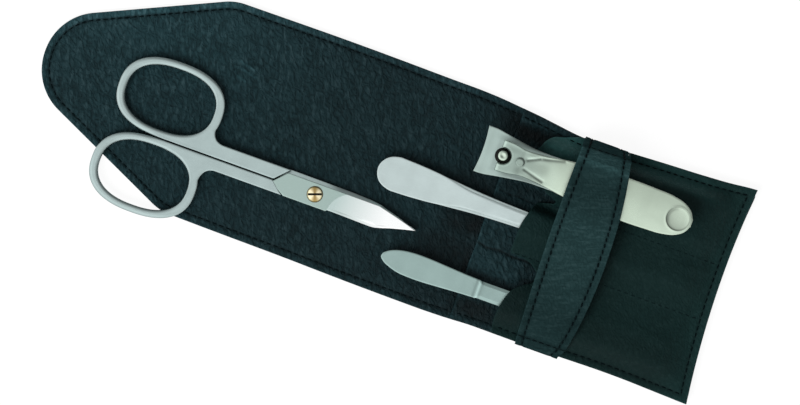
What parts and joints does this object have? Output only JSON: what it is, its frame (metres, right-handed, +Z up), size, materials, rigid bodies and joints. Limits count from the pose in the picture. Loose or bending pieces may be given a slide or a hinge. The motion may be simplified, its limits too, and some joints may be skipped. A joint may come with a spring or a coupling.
{
  "type": "manicure set case",
  "caption": "Open leather manicure case with a folding flap, three pockets and a strap, holding nail scissors, tweezers, a nail file and a nail clipper.",
  "frame": {"origin": "on the underside of the pocket half, in the middle of the open case's length and width", "axes": "+X along the case from the flap's tongue to the bottom of the pockets, +Y across it towards the nail clipper, +Z up"},
  "size_m": [0.1997, 0.0649, 0.0191],
  "materials": {
    "grained_leather": "soft grained, dark blue-green",
    "lining_leather": "grained, dark blue-green",
    "stiff_board": "matt fibre board",
    "seam_thread": "twisted thread",
    "satin_steel": "satin stainless steel",
    "polished_steel": "satin shank, polished blade",
    "nickel_plate": "satin nickel plate, slightly warm",
    "brass_screw": "polished"
  },
  "bodies": {
    "case": {"back_cover": "grained_leather", "back_board": "stiff_board", "back_lining": "lining_leather", "fold_cover": "grained_leather", "fold_lining": "lining_leather", "inner_panel": "grained_leather", "front_panel": "grained_leather", "strap_face": "grained_leather", "strap_lining": "lining_leather", "slot_seam_upper": "seam_thread", "slot_seam_lower": "seam_thread"},
    "flap": {"flap_cover": "grained_leather", "flap_board": "stiff_board", "flap_lining": "lining_leather"},
    "scissors": {"scissor_blade_front": "polished_steel", "scissor_screw": "brass_screw"},
    "scissors_rear": {"scissor_blade_back": "polished_steel"},
    "tweezers": {"tweezer_arm_back": "satin_steel"},
    "tweezers_front": {"tweezer_arm_front": "satin_steel"},
    "file": {"nail_file": "satin_steel"},
    "clipper": {"clipper_lower_leaf": "nickel_plate", "clipper_pin": "nickel_plate", "clipper_rivet": "nickel_plate"},
    "clipper_upper": {"clipper_upper_leaf": "nickel_plate"},
    "lever": {"clipper_lever": "nickel_plate"}
  },
  "joints": [
    {"name": "flap_fold", "type": "hinge", "parent": "case", "child": "flap", "pos_m": [-0.02528, 0, 0.011], "axis": [0, 1, 0], "range_deg": [0, 176], "deforming": ["fold_cover", "fold_lining"]},
    {"name": "scissors_lift", "type": "slide", "parent": "case", "child": "scissors", "axis": [0, 0, 1], "range_m": [0, 0.2181]},
    {"name": "scissors_open", "type": "hinge", "parent": "scissors", "child": "scissors_rear", "pos_m": [-0.0162, -0.0116, 0.0037], "axis": [0, 0, -1], "range_deg": [0, 38]},
    {"name": "tweezers_slide", "type": "slide", "parent": "case", "child": "tweezers", "axis": [1, 0, 0], "range_m": [-0.044, 0]},
    {"name": "tweezers_squeeze", "type": "hinge", "parent": "tweezers", "child": "tweezers_front", "pos_m": [0.0078, 0.0012, 0.005], "axis": [0, 1, 0], "range_deg": [0, 1], "stiffness_Nm_per_rad": 2},
    {"name": "file_slide", "type": "slide", "parent": "case", "child": "file", "axis": [1, 0, 0], "range_m": [-0.05, 0]},
    {"name": "clipper_slide", "type": "slide", "parent": "case", "child": "clipper", "axis": [1, 0, 0], "range_m": [-0.04, 0]},
    {"name": "clipper_bite", "type": "hinge", "parent": "clipper", "child": "clipper_upper", "pos_m": [0.0728, 0.01585, 0.0098], "axis": [0, -1, 0], "range_deg": [0, 0.6], "stiffness_Nm_per_rad": 20},
    {"name": "lever_swivel", "type": "hinge", "parent": "clipper_upper", "child": "lever", "pos_m": [0.0289, 0.01585, 0.0152], "axis": [0, 0, 1], "range_deg": [-2, 2]}
  ],
  "couplings": [
    {"joint": "scissors_lift", "follows": "flap_fold", "m_per_rad": 0.071}
  ]
}
